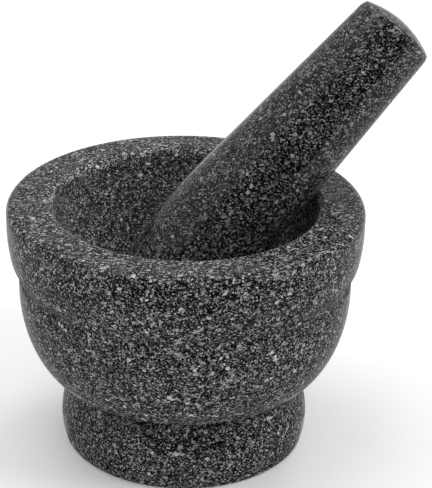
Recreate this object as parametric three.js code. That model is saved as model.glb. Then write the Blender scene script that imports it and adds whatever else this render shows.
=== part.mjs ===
// Footed granite mortar with its pestle leaning in the bowl.
// Millimetres, +Z up. The origin is the centre of the flat underside of the foot.
// The pestle leans towards +X, in the XZ plane.

import * as THREE from 'three';

// Mortar: radii from its axis, heights from the underside. Pairs are [radius, height].
// Names ending in CONTROL, and FOOT_BULGE, CREASE and the arrises, are control points of curves.
const RIM_HEIGHT = 102;
const RIM_RADIUS = 70;
const RIM_OUTER_ROUND = 3.2;
const RIM_INNER_ROUND = 3;
const BOWL_RADIUS = 51.7;
const BOWL_DEPTH = 64.7;
const COLLAR_STRAIGHT_HEIGHT = 93;
const COLLAR_SIDE_CONTROL = [70, 87.5];
const COLLAR_EDGE = [68.8, 81.2];
const COLLAR_EDGE_CONTROL = [68.4, 79.3];
const COLLAR_UNDERCUT = [67.5, 78];
const CREASE = [64.9, 72.4];
const CREASE_TOP = [65.8, 74.4];
const BELLY_RADIUS = 65.8;
const BELLY_HEIGHT = 67;
const BELLY_CURVE_ACROSS = 25.1;
const BELLY_CURVE_UP = 40;
const BELLY_TOP_ANGLE = 4.9;
const BELLY_BOTTOM_ANGLE = -55.6;
const BELLY_ARRIS = [54.4, 32.9];
const BELLY_UNDERSIDE = [53, 32.6];
const NECK_CENTRE = [46.9, 28.6];
const NECK_COVE = 3;
const NECK_LOWER_ANGLE = 250;
const NECK_UPPER_ANGLE = 115;
const FOOT_BULGE_UPPER = [49.9, 18.5];
const FOOT_BULGE_LOWER = [50.9, 8];
const FOOT_ARRIS_TOP = [48.9, 2];
const FOOT_ARRIS = [48.6, 0];
const FOOT_FLAT_RADIUS = 46.5;

// Pestle: distances along its axis are measured from its widest place.
const PESTLE_RADIUS = 22.05;
const PESTLE_NOSE = 58;
const PESTLE_TAPER = 0.0535;
const PESTLE_SHOULDER = 99.6;
const PESTLE_SHOULDER_CONTROL_IN = 0.1;
const PESTLE_SHOULDER_CONTROL_DROP = 0.8;
const PESTLE_CROWN_CURVE = 38;
const PESTLE_CROWN_RADIUS = 15.6;
const PESTLE_TOP = 108.2;
const PESTLE_LEAN = 46;
const PESTLE_CROSSING_BELOW_RIM = 25.7;
const PESTLE_WIDEST_FROM_CROSSING = 18;

const MORTAR_SIDES = 64;
const PESTLE_SIDES = 40;

const granite = new THREE.MeshStandardMaterial({ color: 0x3d3d3e, roughness: 0.32, metalness: 0 });
const honedGranite = new THREE.MeshStandardMaterial({ color: 0x454546, roughness: 0.42, metalness: 0 });

const radians = THREE.MathUtils.degToRad;
const point = ([radius, height]) => new THREE.Vector2(radius, height);

const straight = (from, to) => [point(from), point(to)];

function bend(from, control, to, steps) {
  return new THREE.QuadraticBezierCurve(point(from), point(control), point(to)).getPoints(steps);
}

function arc([x, y], xRadius, yRadius, startAngle, endAngle, steps) {
  const clockwise = endAngle < startAngle;
  const angles = [radians(startAngle), radians(endAngle)];
  const curve = new THREE.EllipseCurve(x, y, xRadius, yRadius, ...angles, clockwise);
  return curve.getPoints(steps);
}

// Joins stretches of outline into one list, leaving out points that repeat.
function outline(...stretches) {
  const points = [];
  for (const next of stretches.flat()) {
    const last = points.at(-1);
    if (!last || last.distanceTo(next) > 1e-4) points.push(next);
  }
  return points;
}

// Turns an outline about the Z axis.
function turned(points, sides) {
  return new THREE.LatheGeometry(points, sides).rotateX(Math.PI / 2);
}

function onEllipse([x, y], xRadius, yRadius, angle) {
  return [x + xRadius * Math.cos(radians(angle)), y + yRadius * Math.sin(radians(angle))];
}

const onCircle = (centre, radius, angle) => onEllipse(centre, radius, radius, angle);

function footOutline() {
  const neckStart = onCircle(NECK_CENTRE, NECK_COVE, NECK_LOWER_ANGLE);
  const bulge = new THREE.CubicBezierCurve(
    point(FOOT_ARRIS_TOP), point(FOOT_BULGE_LOWER), point(FOOT_BULGE_UPPER), point(neckStart));
  return [
    straight([0, 0], [FOOT_FLAT_RADIUS, 0]),
    bend([FOOT_FLAT_RADIUS, 0], FOOT_ARRIS, FOOT_ARRIS_TOP, 3),
    bulge.getPoints(7),
    arc(NECK_CENTRE, NECK_COVE, NECK_COVE, NECK_LOWER_ANGLE, NECK_UPPER_ANGLE, 4),
  ];
}

const bellyCentre = [BELLY_RADIUS - BELLY_CURVE_ACROSS, BELLY_HEIGHT];
const bellyCurve = [bellyCentre, BELLY_CURVE_ACROSS, BELLY_CURVE_UP];

function bellyOutline() {
  const bottom = onEllipse(...bellyCurve, BELLY_BOTTOM_ANGLE);
  return [
    straight(onCircle(NECK_CENTRE, NECK_COVE, NECK_UPPER_ANGLE), BELLY_UNDERSIDE),
    bend(BELLY_UNDERSIDE, BELLY_ARRIS, bottom, 3),
    arc(...bellyCurve, BELLY_BOTTOM_ANGLE, BELLY_TOP_ANGLE, 8),
  ];
}

function collarOutline() {
  const bellyTop = onEllipse(...bellyCurve, BELLY_TOP_ANGLE);
  return [
    bend(bellyTop, CREASE, CREASE_TOP, 4),
    straight(CREASE_TOP, COLLAR_UNDERCUT),
    bend(COLLAR_UNDERCUT, COLLAR_EDGE_CONTROL, COLLAR_EDGE, 3),
    bend(COLLAR_EDGE, COLLAR_SIDE_CONTROL, [RIM_RADIUS, COLLAR_STRAIGHT_HEIGHT], 3),
  ];
}

function rimOutline() {
  const outerCentre = [RIM_RADIUS - RIM_OUTER_ROUND, RIM_HEIGHT - RIM_OUTER_ROUND];
  const innerCentre = [BOWL_RADIUS + RIM_INNER_ROUND, RIM_HEIGHT - RIM_INNER_ROUND];
  return [
    arc(outerCentre, RIM_OUTER_ROUND, RIM_OUTER_ROUND, 0, 90, 4),
    arc(innerCentre, RIM_INNER_ROUND, RIM_INNER_ROUND, 90, 180, 4),
  ];
}

function bowlOutline() {
  const centre = [0, RIM_HEIGHT - RIM_INNER_ROUND];
  return [arc(centre, BOWL_RADIUS, BOWL_DEPTH - RIM_INNER_ROUND, 0, -90, 12)];
}

function buildMortar() {
  const points = outline(
    ...footOutline(), ...bellyOutline(), ...collarOutline(), ...rimOutline(), ...bowlOutline());
  points.at(-1).x = 0;
  const mesh = new THREE.Mesh(turned(points, MORTAR_SIDES), granite);
  mesh.name = 'mortar';
  return mesh;
}

// Nose, tapered flank and low crowned top, with the widest place at height 0.
function pestleOutline() {
  const tangent = Math.atan(PESTLE_TAPER * PESTLE_NOSE / PESTLE_RADIUS);
  const flankStart = [PESTLE_RADIUS * Math.cos(tangent), PESTLE_NOSE * Math.sin(tangent)];
  const shoulder = [flankStart[0] - PESTLE_TAPER * (PESTLE_SHOULDER - flankStart[1]), PESTLE_SHOULDER];
  const crownCentre = PESTLE_TOP - PESTLE_CROWN_CURVE;
  const crownAngle = THREE.MathUtils.radToDeg(Math.acos(PESTLE_CROWN_RADIUS / PESTLE_CROWN_CURVE));
  const crownStart = onCircle([0, crownCentre], PESTLE_CROWN_CURVE, crownAngle);
  const control = [shoulder[0] - PESTLE_SHOULDER_CONTROL_IN, crownStart[1] - PESTLE_SHOULDER_CONTROL_DROP];
  const points = outline(
    arc([0, 0], PESTLE_RADIUS, PESTLE_NOSE, -90, THREE.MathUtils.radToDeg(tangent), 13),
    straight(flankStart, shoulder),
    bend(shoulder, control, crownStart, 3),
    arc([0, crownCentre], PESTLE_CROWN_CURVE, PESTLE_CROWN_CURVE, crownAngle, 90, 4));
  points[0].x = 0;
  points.at(-1).x = 0;
  return points;
}

function buildPestle() {
  const mesh = new THREE.Mesh(turned(pestleOutline(), PESTLE_SIDES), honedGranite);
  mesh.name = 'pestle';
  mesh.position.z = PESTLE_WIDEST_FROM_CROSSING;
  return mesh;
}

function buildSet() {
  const leaning = new THREE.Group();
  leaning.position.z = RIM_HEIGHT - PESTLE_CROSSING_BELOW_RIM;
  leaning.rotation.y = radians(90 - PESTLE_LEAN);
  leaning.add(buildPestle());
  const group = new THREE.Group();
  group.add(buildMortar(), leaning);
  return group;
}

export default buildSet();
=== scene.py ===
"""A footed granite mortar with its pestle leaning in the bowl. Metres, +Z up."""
import math

import bpy
import numpy as np
from mathutils import Matrix, Vector


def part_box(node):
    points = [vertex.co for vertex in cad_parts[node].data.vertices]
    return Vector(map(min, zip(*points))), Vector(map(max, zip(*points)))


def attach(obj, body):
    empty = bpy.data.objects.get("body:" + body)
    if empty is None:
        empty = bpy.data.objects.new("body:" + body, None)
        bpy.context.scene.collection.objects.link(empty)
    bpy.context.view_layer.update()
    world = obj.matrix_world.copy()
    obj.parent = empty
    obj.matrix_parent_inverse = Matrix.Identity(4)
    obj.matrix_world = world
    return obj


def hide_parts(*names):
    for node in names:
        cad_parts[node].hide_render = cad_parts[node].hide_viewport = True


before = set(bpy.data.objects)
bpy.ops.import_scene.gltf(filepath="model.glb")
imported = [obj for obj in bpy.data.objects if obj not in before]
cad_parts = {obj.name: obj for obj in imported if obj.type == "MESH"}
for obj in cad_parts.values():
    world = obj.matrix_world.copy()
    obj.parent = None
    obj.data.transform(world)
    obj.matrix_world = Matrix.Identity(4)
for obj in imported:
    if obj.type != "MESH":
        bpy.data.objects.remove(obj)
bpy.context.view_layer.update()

MM = 0.001
SEED = 7

# Mortar outline, as in the CAD model: radii and heights from the underside, in millimetres.
RIM_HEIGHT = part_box("mortar")[1][2] / MM
RIM_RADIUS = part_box("mortar")[1][0] / MM
RIM_OUTER_ROUND = 3.2
RIM_INNER_ROUND = 3.0
BOWL_RADIUS = 51.7
BOWL_DEPTH = 64.7
COLLAR_STRAIGHT_HEIGHT = 93.0
COLLAR_SIDE_CONTROL = (70.0, 87.5)
COLLAR_EDGE = (68.8, 81.2)
COLLAR_EDGE_CONTROL = (68.4, 79.3)
COLLAR_UNDERCUT = (67.5, 78.0)
CREASE = (64.9, 72.4)
CREASE_TOP = (65.8, 74.4)
BELLY_RADIUS = 65.8
BELLY_HEIGHT = 67.0
BELLY_CURVE = (25.1, 40.0)
BELLY_ANGLES = (-55.6, 4.9)
BELLY_ARRIS = (54.4, 32.9)
BELLY_UNDERSIDE = (53.0, 32.6)
NECK_CENTRE = (46.9, 28.6)
NECK_COVE = 3.0
NECK_ANGLES = (250.0, 115.0)
FOOT_BULGE_UPPER = (49.9, 18.5)
FOOT_BULGE_LOWER = (50.9, 8.0)
FOOT_ARRIS_TOP = (48.9, 2.0)
FOOT_ARRIS = (48.6, 0.0)
FOOT_FLAT_RADIUS = 46.5

# Pestle outline, with distances along its axis from its widest place.
PESTLE_RADIUS = 22.05
PESTLE_NOSE = 58.0
PESTLE_TAPER = 0.0535
PESTLE_SHOULDER = 99.6
PESTLE_SHOULDER_CONTROL_IN = 0.1
PESTLE_SHOULDER_CONTROL_DROP = 0.8
PESTLE_CROWN_CURVE = 38.0
PESTLE_CROWN_RADIUS = 15.6
PESTLE_TOP = 108.2
PESTLE_LEAN = 46.0
PESTLE_CROSSING_BELOW_RIM = 25.7
PESTLE_WIDEST_FROM_CROSSING = 18.0

# Mesh fineness: outline points lie about a step apart, with at least ROUND_STEPS to a curve. A curve's
# length is measured in LENGTH_SAMPLES points, and points nearer than SAME_POINT are one.
MORTAR_SIDES = 512
PESTLE_SIDES = 256
OUTLINE_STEP = 0.8
COARSE_STEP = 1.8
ROUND_STEPS = 8
LENGTH_SAMPLES = 33
SAME_POINT = 1e-4

# Chips: least and greatest radius and depth of each, how many each edge has, and where the edges
# that aren't plain round corners lie. A round corner stands in by CORNER_TO_ROUND of its radius.
CHIP_RADIUS = (1.4, 3.2)
CHIP_DEPTH = (0.15, 0.42)
CORNER_TO_ROUND = 1 - math.sqrt(0.5)
BELLY_EDGE = (BELLY_ARRIS[0], BELLY_ARRIS[1] + 0.3)
FOOT_EDGE = (FOOT_ARRIS[0] - 0.3, 0.5)
CROWN_EDGE = (PESTLE_CROWN_RADIUS + 1.3, PESTLE_SHOULDER + 0.9)
RIM_OUTER_CHIPS = 26
RIM_INNER_CHIPS = 9
BELLY_CHIPS = 9
FOOT_CHIPS = 12
CROWN_CHIPS = 8


# Outlines: each stretch is an array of (radius, height) rows in millimetres.

def straight(start, end, step=OUTLINE_STEP):
    start, end = np.array(start), np.array(end)
    count = max(1, math.ceil(np.linalg.norm(end - start) / step))
    return start + (end - start) * np.linspace(0, 1, count + 1)[:, None]


def sampled(curve, step=OUTLINE_STEP):
    """Points of a curve over 0 to 1, about a step apart."""
    rough = curve(np.linspace(0, 1, LENGTH_SAMPLES))
    length = np.linalg.norm(np.diff(rough, axis=0), axis=1).sum()
    return curve(np.linspace(0, 1, max(ROUND_STEPS, math.ceil(length / step)) + 1))


def bend(*controls):
    """A Bezier curve, quadratic with three controls and cubic with four."""
    controls = np.array(controls)
    degree = len(controls) - 1

    def curve(t):
        weights = [math.comb(degree, k) * t**k * (1 - t)**(degree - k) for k in range(degree + 1)]
        return np.stack(weights, axis=1) @ controls

    return sampled(curve)


def on_ellipse(centre, radii, angle):
    return (centre[0] + radii[0] * math.cos(math.radians(angle)),
            centre[1] + radii[1] * math.sin(math.radians(angle)))


def arc(centre, radii, start_angle, end_angle, step=OUTLINE_STEP):
    """A stretch of an ellipse, between two angles in degrees."""
    def curve(t):
        angle = np.radians(start_angle + (end_angle - start_angle) * t)
        return np.array(centre) + np.stack([np.cos(angle), np.sin(angle)], axis=1) * np.array(radii)

    return sampled(curve, step)


def joined(*stretches):
    """One outline from its stretches, without the points that repeat."""
    points = np.vstack(stretches)
    steps = np.linalg.norm(np.diff(points, axis=0), axis=1)
    return points[np.concatenate([[True], steps > SAME_POINT])]


def mortar_outline():
    neck_lower = on_ellipse(NECK_CENTRE, (NECK_COVE, NECK_COVE), NECK_ANGLES[0])
    neck_upper = on_ellipse(NECK_CENTRE, (NECK_COVE, NECK_COVE), NECK_ANGLES[1])
    belly_centre = (BELLY_RADIUS - BELLY_CURVE[0], BELLY_HEIGHT)
    belly_bottom = on_ellipse(belly_centre, BELLY_CURVE, BELLY_ANGLES[0])
    belly_top = on_ellipse(belly_centre, BELLY_CURVE, BELLY_ANGLES[1])
    straight_foot = (RIM_RADIUS, COLLAR_STRAIGHT_HEIGHT)
    outer_centre = (RIM_RADIUS - RIM_OUTER_ROUND, RIM_HEIGHT - RIM_OUTER_ROUND)
    inner_centre = (BOWL_RADIUS + RIM_INNER_ROUND, RIM_HEIGHT - RIM_INNER_ROUND)
    return joined(
        straight((0, 0), (FOOT_FLAT_RADIUS, 0), COARSE_STEP),
        bend((FOOT_FLAT_RADIUS, 0), FOOT_ARRIS, FOOT_ARRIS_TOP),
        bend(FOOT_ARRIS_TOP, FOOT_BULGE_LOWER, FOOT_BULGE_UPPER, neck_lower),
        arc(NECK_CENTRE, (NECK_COVE, NECK_COVE), *NECK_ANGLES),
        straight(neck_upper, BELLY_UNDERSIDE),
        bend(BELLY_UNDERSIDE, BELLY_ARRIS, belly_bottom),
        arc(belly_centre, BELLY_CURVE, *BELLY_ANGLES),
        bend(belly_top, CREASE, CREASE_TOP),
        straight(CREASE_TOP, COLLAR_UNDERCUT),
        bend(COLLAR_UNDERCUT, COLLAR_EDGE_CONTROL, COLLAR_EDGE),
        bend(COLLAR_EDGE, COLLAR_SIDE_CONTROL, straight_foot),
        straight(straight_foot, (RIM_RADIUS, RIM_HEIGHT - RIM_OUTER_ROUND)),
        arc(outer_centre, (RIM_OUTER_ROUND, RIM_OUTER_ROUND), 0, 90),
        straight((outer_centre[0], RIM_HEIGHT), (inner_centre[0], RIM_HEIGHT)),
        arc(inner_centre, (RIM_INNER_ROUND, RIM_INNER_ROUND), 90, 180),
        arc((0, inner_centre[1]), (BOWL_RADIUS, BOWL_DEPTH - RIM_INNER_ROUND), 0, -90, COARSE_STEP))


def pestle_outline():
    tangent = math.atan(PESTLE_TAPER * PESTLE_NOSE / PESTLE_RADIUS)
    flank_start = (PESTLE_RADIUS * math.cos(tangent), PESTLE_NOSE * math.sin(tangent))
    shoulder_radius = flank_start[0] - PESTLE_TAPER * (PESTLE_SHOULDER - flank_start[1])
    shoulder = (shoulder_radius, PESTLE_SHOULDER)
    crown_centre = (0, PESTLE_TOP - PESTLE_CROWN_CURVE)
    crown_radii = (PESTLE_CROWN_CURVE, PESTLE_CROWN_CURVE)
    crown_angle = math.degrees(math.acos(PESTLE_CROWN_RADIUS / PESTLE_CROWN_CURVE))
    crown_start = on_ellipse(crown_centre, crown_radii, crown_angle)
    control_height = crown_start[1] - PESTLE_SHOULDER_CONTROL_DROP
    control = (shoulder_radius - PESTLE_SHOULDER_CONTROL_IN, control_height)
    return joined(
        arc((0, 0), (PESTLE_RADIUS, PESTLE_NOSE), -90, math.degrees(tangent)),
        straight(flank_start, shoulder),
        bend(shoulder, control, crown_start),
        arc(crown_centre, crown_radii, crown_angle, 90))


# Meshes.

def turned(name, outline, sides):
    """A closed mesh of revolution about Z, from an outline whose two ends lie on the axis."""
    rings = outline[1:-1] * MM
    angles = np.arange(sides) * 2 * math.pi / sides
    around = np.stack([np.cos(angles), np.sin(angles)], axis=1)
    flat = rings[:, None, :1] * around[None]
    heights = np.broadcast_to(rings[:, None, 1:], flat.shape[:2] + (1,))
    verts = np.concatenate([flat, heights], axis=2).reshape(-1, 3)
    bottom, top = len(verts), len(verts) + 1
    verts = np.vstack([verts, [0, 0, outline[0, 1] * MM], [0, 0, outline[-1, 1] * MM]])

    here = np.arange(sides)
    after = (here + 1) % sides
    quads = []
    for ring in range(len(rings) - 1):
        low, high = ring * sides, (ring + 1) * sides
        quads.append(np.stack([low + here, low + after, high + after, high + here], axis=1))
    last = (len(rings) - 1) * sides
    faces = np.vstack(quads).tolist()
    faces += np.stack([after, here, np.full(sides, bottom)], axis=1).tolist()
    faces += np.stack([last + here, last + after, np.full(sides, top)], axis=1).tolist()

    mesh = bpy.data.meshes.new(name)
    mesh.from_pydata(verts.tolist(), [], faces)
    mesh.update()
    mesh.shade_smooth()
    piece = bpy.data.objects.new(name, mesh)
    bpy.context.scene.collection.objects.link(piece)
    return piece


def read_verts(piece):
    verts = np.empty(len(piece.data.vertices) * 3)
    piece.data.vertices.foreach_get("co", verts)
    return verts.reshape(-1, 3)


def write_verts(piece, verts):
    piece.data.vertices.foreach_set("co", verts.ravel())
    piece.data.update()


def chip(verts, centre, radius):
    """Scoops out what lies inside a ball, as a chip leaves an edge."""
    away = verts - centre
    distance = np.linalg.norm(away, axis=1, keepdims=True)
    inside = distance < radius
    return np.where(inside, centre + away / np.maximum(distance, 1e-9) * radius, verts)


def chip_edge(verts, rng, edge, outward, count):
    """Small chips at seeded places round a turned edge.

    edge is its (radius, height), and outward the (radial, up) way that it faces.
    """
    out = np.array(outward) / np.linalg.norm(outward)
    for _ in range(count):
        angle = rng.uniform(0, 2 * math.pi)
        ball = rng.uniform(*CHIP_RADIUS)
        depth = rng.uniform(*CHIP_DEPTH)
        radial, height = np.array(edge) + out * (ball - depth)
        centre = np.array([radial * math.cos(angle), radial * math.sin(angle), height]) * MM
        verts = chip(verts, centre, ball * MM)
    return verts


def build_mortar():
    piece = turned("mortar_stone", mortar_outline(), MORTAR_SIDES)
    rng = np.random.default_rng(SEED)
    verts = read_verts(piece)
    outer = RIM_OUTER_ROUND * CORNER_TO_ROUND
    inner = RIM_INNER_ROUND * CORNER_TO_ROUND
    rim_outer = (RIM_RADIUS - outer, RIM_HEIGHT - outer)
    rim_inner = (BOWL_RADIUS + inner, RIM_HEIGHT - inner)
    verts = chip_edge(verts, rng, rim_outer, (1, 1), RIM_OUTER_CHIPS)
    verts = chip_edge(verts, rng, rim_inner, (-1, 1), RIM_INNER_CHIPS)
    verts = chip_edge(verts, rng, BELLY_EDGE, (1, -1), BELLY_CHIPS)
    verts = chip_edge(verts, rng, FOOT_EDGE, (1, -1), FOOT_CHIPS)
    write_verts(piece, verts)
    return piece


def pestle_place():
    """Stands the pestle's outline, drawn along Z, where it leans in the bowl."""
    crossing = Matrix.Translation((0, 0, (RIM_HEIGHT - PESTLE_CROSSING_BELOW_RIM) * MM))
    lean = Matrix.Rotation(math.radians(90 - PESTLE_LEAN), 4, "Y")
    return crossing @ lean @ Matrix.Translation((0, 0, PESTLE_WIDEST_FROM_CROSSING * MM))


def build_pestle():
    piece = turned("pestle_stone", pestle_outline(), PESTLE_SIDES)
    rng = np.random.default_rng(SEED + 1)
    verts = read_verts(piece)
    verts = chip_edge(verts, rng, CROWN_EDGE, (1, 1), CROWN_CHIPS)
    write_verts(piece, verts)
    piece.data.transform(pestle_place())
    return piece


# Materials. Sizes and distances are in millimetres, greys are linear.

# Greys of the crystals, each as (from this random value on, grey). Where a large or small crystal's
# grey is 0, the darker stone around it shows.
GROUND_GREYS = [(0, 0.002), (0.40, 0.004), (0.70, 0.008), (0.88, 0.018)]
LARGE_GREYS = [(0, 0.0), (0.94, 0.16), (0.97, 0.28), (0.992, 0.45)]
SMALL_GREYS = [(0, 0.0), (0.85, 0.10), (0.91, 0.25), (0.965, 0.45)]
PATCH_GREYS = [(0, 0.09), (0.3, 0.21), (0.6, 0.36), (0.85, 0.55)]
RAGGED_REACH = 0.9
PATCH_SOFTNESS = 0.025
THREAD_CORE = 0.4
THREAD_BREAK_SCALE = 0.7

CLOUD_GAIN = 1.4
CLOUD_STRENGTH = 0.4
# The gain on the honed stone's grey: partly its paler finish, partly a painted sheen for light grazing
# the honed walls.
HONED_AND_SHEEN_GAIN = 2.1
DUST_GREY = 0.05
DUST_COVER = 0.25
STONE_IOR = 1.45
POLISHED_ROUGHNESS = (0.07, 0.13)
GRAIN_ROUGHNESS = 0.06
UNPOLISHED_ROUGHNESS = (0.42, 0.58)
POLISHED_RELIEF = 0.005
UNPOLISHED_RELIEF = 0.1
NOISE_MIDDLE = (0.35, 0.65)

# Where each finish starts and where it is complete: radii and heights on the mortar, and distances
# along the pestle's axis from its widest place.
HONED_RADIUS = (BOWL_RADIUS + 3.5, BOWL_RADIUS + 0.5)
HONED_ABOVE = RIM_HEIGHT - BOWL_DEPTH - 1.0
UNDERSIDE_BELOW = 0.2
CREASE_FROM_BELLY = (CREASE[1] - 3.5, CREASE[1] - 1.0)
CREASE_FROM_COLLAR = (COLLAR_EDGE[1] + 1.0, COLLAR_EDGE[1] - 2.0)
GROOVE_FROM_FOOT = (FOOT_BULGE_UPPER[1] + 2.0, NECK_CENTRE[1] - 2.0)
GROOVE_FROM_BELLY = (BELLY_ARRIS[1] + 2.0, BELLY_ARRIS[1])
PESTLE_MATT = (6.0 - PESTLE_NOSE, 1.0 - PESTLE_NOSE)
PESTLE_DULL = (20.0 - PESTLE_NOSE, 4.0 - PESTLE_NOSE)

MORTAR_GLOSS = 0.13
MORTAR_LIGHTNESS = 1.08
PESTLE_GLOSS = 0.38
PESTLE_LIGHTNESS = 0.68


def grey(value):
    return (value, value, value, 1)


class Nodes:
    """Short ways to add and link the nodes of one material."""

    def __init__(self, name):
        self.material = bpy.data.materials.new(name)
        self.material.use_nodes = True
        self.tree = self.material.node_tree
        self.tree.nodes.clear()

    def add(self, kind, inputs=None, **settings):
        node = self.tree.nodes.new(kind)
        for key, value in settings.items():
            setattr(node, key, value)
        for key, value in (inputs or {}).items():
            self.plug(node.inputs[key], value)
        return node

    def plug(self, socket, value):
        if isinstance(value, bpy.types.NodeSocket):
            self.tree.links.new(value, socket)
        else:
            socket.default_value = value

    def math(self, operation, a, b=0.0):
        return self.add("ShaderNodeMath", {0: a, 1: b}, operation=operation).outputs[0]

    def between(self, value, low, high):
        """0 at low, 1 at high, smooth in between. low may be above high."""
        node = self.add("ShaderNodeMapRange", {"Value": value, "From Min": low, "From Max": high},
                        interpolation_type="SMOOTHSTEP")
        return node.outputs["Result"]

    def band(self, value, rise, fall):
        """1 where value is past both spans. Each span is (where it starts, where it is complete)."""
        return self.math("MULTIPLY", self.between(value, *rise), self.between(value, *fall))

    def blend(self, factor, a, b):
        node = self.add("ShaderNodeMix", {"Factor": factor, "A": a, "B": b}, data_type="FLOAT")
        return node.outputs["Result"]

    def steps(self, value, stops):
        """A grey that changes in steps with value. stops are (position, grey)."""
        node = self.add("ShaderNodeValToRGB", {"Fac": value})
        node.color_ramp.interpolation = "CONSTANT"
        elements = node.color_ramp.elements
        while len(elements) < len(stops):
            elements.new(1.0)
        for element, (position, tone) in zip(elements, stops):
            element.position = position
            element.color = grey(tone)
        return node.outputs["Color"]


def crystals(nodes, spot, size, turn, stretch, offset):
    """A random value from 0 to 1 for each crystal of a solid stone. Offset gives each kind its own."""
    placed = nodes.add("ShaderNodeMapping", {
        "Vector": spot, "Location": (offset, -offset, offset * 0.5), "Rotation": turn,
        "Scale": (1 / (size * stretch), 1 / size, 1 / size)})
    cells = nodes.add("ShaderNodeTexVoronoi", {"Vector": placed.outputs[0], "Scale": 1.0})
    return nodes.add("ShaderNodeSeparateColor", {"Color": cells.outputs["Color"]}).outputs["Red"]


def jagged(nodes, spot, reach):
    """Moves spot by a fine noise, so that crystal edges come out ragged."""
    noise = nodes.add("ShaderNodeTexNoise", {
        "Vector": spot, "Scale": 2.6, "Detail": 3.0, "Roughness": 0.7}).outputs["Color"]
    centred = nodes.add("ShaderNodeVectorMath", {0: noise, 1: (-0.5, -0.5, -0.5)}, operation="ADD")
    shift = nodes.add("ShaderNodeVectorMath", {0: centred.outputs[0], "Scale": reach}, operation="SCALE")
    return nodes.add("ShaderNodeVectorMath", {0: spot, 1: shift.outputs[0]}, operation="ADD").outputs[0]


def mixed(nodes, blend_type, factor, a, b):
    node = nodes.add("ShaderNodeMix", {"Factor": factor}, data_type="RGBA", blend_type=blend_type)
    nodes.plug(node.inputs[6], a)
    nodes.plug(node.inputs[7], b)
    return node.outputs[2]


def strands(nodes, spot, scale, level, offset):
    """1 on the branching patches where a noise is above level, 0 elsewhere."""
    moved = nodes.add("ShaderNodeVectorMath", {0: spot, 1: (offset, offset, -offset)}, operation="ADD")
    noise = nodes.add("ShaderNodeTexNoise", {"Vector": moved.outputs[0], "Scale": scale, "Detail": 3.0,
                                             "Roughness": 0.6, "Distortion": 0.4})
    return nodes.between(noise.outputs["Fac"], level, level + PATCH_SOFTNESS)


def threads(nodes, spot, scale, width, offset):
    """1 on thin curved lines, where a noise is near its middle value. A second noise breaks them."""
    moved = nodes.add("ShaderNodeVectorMath", {0: spot, 1: (-offset, offset, offset)}, operation="ADD")
    noise = nodes.add("ShaderNodeTexNoise", {"Vector": moved.outputs[0], "Scale": scale, "Detail": 1.0})
    off_middle = nodes.math("ABSOLUTE", nodes.math("SUBTRACT", noise.outputs["Fac"], 0.5))
    line = nodes.between(off_middle, width, width * THREAD_CORE)
    breaks = strands(nodes, spot, scale * THREAD_BREAK_SCALE, level=0.5, offset=offset + 9)
    return nodes.math("MULTIPLY", line, breaks)


def pale_patches(nodes, ragged):
    """1 in branching patches and on thin threads, 0 elsewhere."""
    branches = strands(nodes, ragged, scale=1.15, level=0.595, offset=5)
    veins = threads(nodes, ragged, scale=0.9, width=0.026, offset=40)
    return nodes.math("MAXIMUM", branches, veins)


def speckle(nodes, spot, lightness):
    """Black and dark crystals, with light grey grains and branching patches among them."""
    ragged = jagged(nodes, spot, RAGGED_REACH)
    dark = crystals(nodes, ragged, size=0.6, turn=(0.3, 0.1, 0), stretch=1.2, offset=11)
    large = crystals(nodes, ragged, size=1.1, turn=(0.2, 0.9, 0.9), stretch=1.3, offset=0)
    small = crystals(nodes, ragged, size=0.4, turn=(-0.4, 1.2, 0.2), stretch=1.7, offset=57)
    feldspar = crystals(nodes, ragged, size=0.6, turn=(0.7, 0.1, -0.6), stretch=1.2, offset=31)
    patch = nodes.steps(feldspar, PATCH_GREYS)
    patches = mixed(nodes, "MIX", pale_patches(nodes, ragged), grey(0), patch)
    light = mixed(nodes, "LIGHTEN", 1.0, nodes.steps(large, LARGE_GREYS), patches)
    light = mixed(nodes, "LIGHTEN", 1.0, light, nodes.steps(small, SMALL_GREYS))
    stone = mixed(nodes, "LIGHTEN", 1.0, nodes.steps(dark, GROUND_GREYS), light)
    return mixed(nodes, "MULTIPLY", 1.0, stone, grey(lightness))


def clouded(nodes, spot, stone):
    """Slow changes of lightness across the stone."""
    noise = nodes.add("ShaderNodeTexNoise", {"Vector": spot, "Scale": 0.12, "Detail": 2.0})
    cloud = nodes.math("MULTIPLY", nodes.between(noise.outputs["Fac"], *NOISE_MIDDLE), CLOUD_STRENGTH)
    return mixed(nodes, "MULTIPLY", cloud, stone, grey(CLOUD_GAIN))


def honed(nodes, matt, stone):
    """Paler, dusty stone where matt is 1. The paleness is partly the honed finish and partly a painted
    sheen, lightening the stone as light grazing its honed walls would.
    """
    paler_and_sheen = mixed(nodes, "MULTIPLY", matt, stone, grey(HONED_AND_SHEEN_GAIN))
    return mixed(nodes, "MIX", nodes.math("MULTIPLY", matt, DUST_COVER), paler_and_sheen, grey(DUST_GREY))


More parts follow.
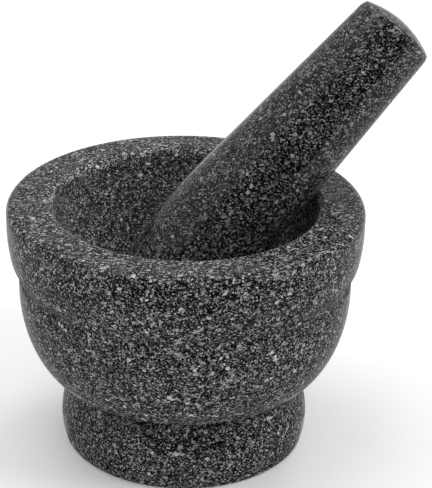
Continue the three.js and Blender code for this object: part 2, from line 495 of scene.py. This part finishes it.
def granite(name, finish, gloss, lightness):
    """Dark speckled granite. finish(nodes, x, y, z) gives two masks: honed, which is paler partly
    through a painted sheen, and dull.
    """
    nodes = Nodes(name)
    place = nodes.add("ShaderNodeTexCoord").outputs["Object"]
    spot = nodes.add("ShaderNodeVectorMath", {0: place, "Scale": 1 / MM}, operation="SCALE").outputs[0]
    axes = nodes.add("ShaderNodeSeparateXYZ", {0: spot}).outputs
    matt, dull = finish(nodes, axes["X"], axes["Y"], axes["Z"])
    unpolished = nodes.math("MAXIMUM", matt, dull)
    tone = honed(nodes, matt, clouded(nodes, spot, speckle(nodes, spot, lightness)))

    grain = nodes.add("ShaderNodeTexNoise", {
        "Vector": spot, "Scale": 2.4, "Detail": 4.0, "Roughness": 0.65}).outputs["Fac"]
    polish = nodes.add("ShaderNodeTexNoise", {"Vector": spot, "Scale": 0.35, "Detail": 3.0})
    uneven = nodes.between(polish.outputs["Fac"], *NOISE_MIDDLE)
    smooth = nodes.blend(uneven, *POLISHED_ROUGHNESS)
    smooth = nodes.math("ADD", smooth, nodes.math("MULTIPLY", grain, GRAIN_ROUGHNESS))
    roughness = nodes.blend(unpolished, smooth, nodes.blend(grain, *UNPOLISHED_ROUGHNESS))

    relief = nodes.blend(unpolished, POLISHED_RELIEF * MM, UNPOLISHED_RELIEF * MM)
    height = nodes.math("MULTIPLY", grain, relief)
    bump = nodes.add("ShaderNodeBump", {"Height": height, "Strength": 1.0, "Distance": 1.0})
    shader = nodes.add("ShaderNodeBsdfPrincipled", {
        "Base Color": tone, "Roughness": roughness, "Normal": bump.outputs["Normal"], "IOR": STONE_IOR,
        "Specular IOR Level": gloss})
    nodes.add("ShaderNodeOutputMaterial", {"Surface": shader.outputs["BSDF"]})
    return nodes.material


def mortar_finish(nodes, x, y, z):
    """Polished outside, honed in the bowl and under the foot, and dull where the wheel can't reach."""
    square = nodes.math("ADD", nodes.math("MULTIPLY", x, x), nodes.math("MULTIPLY", y, y))
    radius = nodes.math("SQRT", square)
    in_mouth = nodes.between(radius, *HONED_RADIUS)
    in_bowl = nodes.math("MULTIPLY", in_mouth, nodes.math("GREATER_THAN", z, HONED_ABOVE))
    matt = nodes.math("MAXIMUM", in_bowl, nodes.math("LESS_THAN", z, UNDERSIDE_BELOW))
    crease = nodes.band(z, CREASE_FROM_BELLY, CREASE_FROM_COLLAR)
    groove = nodes.band(z, GROOVE_FROM_FOOT, GROOVE_FROM_BELLY)
    return matt, nodes.math("MAXIMUM", crease, groove)


def pestle_finish(nodes, x, y, z):
    """Polished, worn dull towards the nose and matt on its tip."""
    lean = math.radians(PESTLE_LEAN)
    above_crossing = nodes.math("SUBTRACT", z, RIM_HEIGHT - PESTLE_CROSSING_BELOW_RIM)
    along_x = nodes.math("MULTIPLY", x, math.cos(lean))
    along_z = nodes.math("MULTIPLY", above_crossing, math.sin(lean))
    from_crossing = nodes.math("ADD", along_x, along_z)
    from_widest = nodes.math("SUBTRACT", from_crossing, PESTLE_WIDEST_FROM_CROSSING)
    return nodes.between(from_widest, *PESTLE_MATT), nodes.between(from_widest, *PESTLE_DULL)


def dress(piece, body, node, material):
    piece.data.materials.append(material)
    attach(piece, body)
    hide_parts(node)


# Stage: floor, light and camera.

CAMERA_TURN = 17.74
CAMERA_ELEVATION = 24.0
CAMERA_DISTANCE = 0.70
CAMERA_ROLL = 1.11
CAMERA_LENS = 132.4
CAMERA_AIM = (0.0126, 0.0, 0.0815)
CAMERA_REACH = 20.0

WORLD_STRENGTH = 0.56
LAMP_AIM = (0.0, 0.0, 0.06)
LAMP_DISTANCE = 1.2
FLAG_CENTRE = (0.0, 0.0, 0.1)
FLAG_GREY = 0.005
TABLE_GREY = 0.5
FLOOR_HALF = 12.0
FLOOR_GREY = 0.9
FLOOR_GLOW = 0.16


def direction(azimuth, elevation):
    """From the object towards a place in the studio. Azimuth 0 is the camera's right, 90 is behind."""
    turn = math.radians(azimuth - CAMERA_TURN)
    rise = math.radians(elevation)
    return Vector((math.cos(turn) * math.cos(rise), math.sin(turn) * math.cos(rise), math.sin(rise)))


def facing(location, target, roll=0.0):
    """The place of a camera or lamp that looks at a target, turned by roll degrees about its view."""
    aim = (Vector(target) - Vector(location)).to_track_quat("-Z", "Y").to_matrix().to_4x4()
    return Matrix.Translation(location) @ aim @ Matrix.Rotation(math.radians(roll), 4, "Z")


def place_camera():
    camera = bpy.data.objects.new("camera", bpy.data.cameras.new("camera"))
    camera.data.lens = CAMERA_LENS
    camera.data.clip_end = CAMERA_REACH
    rim_centre = Vector((0, 0, RIM_HEIGHT * MM))
    location = rim_centre + direction(-90, CAMERA_ELEVATION) * CAMERA_DISTANCE
    camera.matrix_world = facing(location, CAMERA_AIM, CAMERA_ROLL)
    bpy.context.scene.collection.objects.link(camera)
    bpy.context.scene.camera = camera


def softbox(name, azimuth, elevation, size, power):
    """A square area light that faces the object."""
    light = bpy.data.lights.new(name, "AREA")
    light.shape = "SQUARE"
    light.size = size
    light.energy = power
    lamp = bpy.data.objects.new(name, light)
    location = Vector(LAMP_AIM) + direction(azimuth, elevation) * LAMP_DISTANCE
    lamp.matrix_world = facing(location, LAMP_AIM)
    bpy.context.scene.collection.objects.link(lamp)


def plain(name, tone, glow=0.0):
    """A matt stage material of one grey."""
    material = bpy.data.materials.new(name)
    material.use_nodes = True
    shader = material.node_tree.nodes["Principled BSDF"]
    shader.inputs["Base Color"].default_value = grey(tone)
    shader.inputs["Roughness"].default_value = 0.8
    shader.inputs["Specular IOR Level"].default_value = 0.1
    shader.inputs["Emission Color"].default_value = (1, 1, 1, 1)
    shader.inputs["Emission Strength"].default_value = glow
    return material


def card(name, corners, material):
    mesh = bpy.data.meshes.new(name)
    mesh.from_pydata([tuple(corner) for corner in corners], [], [(0, 1, 2, 3)])
    mesh.materials.append(material)
    piece = bpy.data.objects.new(name, mesh)
    bpy.context.scene.collection.objects.link(piece)
    return piece


def hide_but_for_reflections(piece):
    """Leaves a card out of the picture, its shadow and the light that it bounces."""
    piece.visible_camera = False
    piece.visible_diffuse = False
    piece.visible_shadow = False


def black_flag(name, azimuths, elevations, distance):
    """A black card that only shows in reflections, as the dark room behind a camera does."""
    spans = ((azimuths[0], elevations[0]), (azimuths[1], elevations[0]),
             (azimuths[1], elevations[1]), (azimuths[0], elevations[1]))
    corners = [Vector(FLAG_CENTRE) + direction(*span) * distance for span in spans]
    hide_but_for_reflections(card(name, corners, plain(name, FLAG_GREY)))


def table_card(name, azimuths, distances, height, tone):
    """A card over the floor that only shows in reflections, between two azimuths and two distances."""
    near, far = distances
    corners = [direction(azimuth, 0) * near for azimuth in azimuths]
    corners += [direction(azimuth, 0) * far for azimuth in reversed(azimuths)]
    raised = Vector((0, 0, height))
    hide_but_for_reflections(card(name, [corner + raised for corner in corners], plain(name, tone)))


def light_studio():
    world = bpy.data.worlds.new("studio")
    world.use_nodes = True
    background = world.node_tree.nodes["Background"]
    background.inputs["Color"].default_value = grey(1)
    background.inputs["Strength"].default_value = WORLD_STRENGTH
    bpy.context.scene.world = world
    softbox("overhead", azimuth=150, elevation=76, size=0.8, power=4.8)
    softbox("side", azimuth=-25, elevation=48, size=0.35, power=3.0)
    softbox("back", azimuth=55, elevation=45, size=0.35, power=2.4)
    black_flag("dark_front", azimuths=(-119, -42), elevations=(-20, 62), distance=1.0)
    table_card("dark_apron", (-140, -42), (0.25, 1.3), height=0.002, tone=FLAG_GREY)
    for side in range(4):
        edge = side * 90
        table_card(f"grey_table_{side}", (edge, edge + 90), (0.06, 0.7), height=0.001, tone=TABLE_GREY)


def lay_floor():
    low, high = -FLOOR_HALF, FLOOR_HALF
    corners = [(low, low, 0), (high, low, 0), (high, high, 0), (low, high, 0)]
    card("floor", corners, plain("floor", FLOOR_GREY, FLOOR_GLOW))


place_camera()
light_studio()
lay_floor()
mortar_granite = granite("mortar_granite", mortar_finish, MORTAR_GLOSS, MORTAR_LIGHTNESS)
pestle_granite = granite("pestle_granite", pestle_finish, PESTLE_GLOSS, PESTLE_LIGHTNESS)
dress(build_mortar(), "mortar", "mortar", mortar_granite)
dress(build_pestle(), "pestle", "pestle", pestle_granite)
bpy.context.scene.view_settings.view_transform = "Standard"
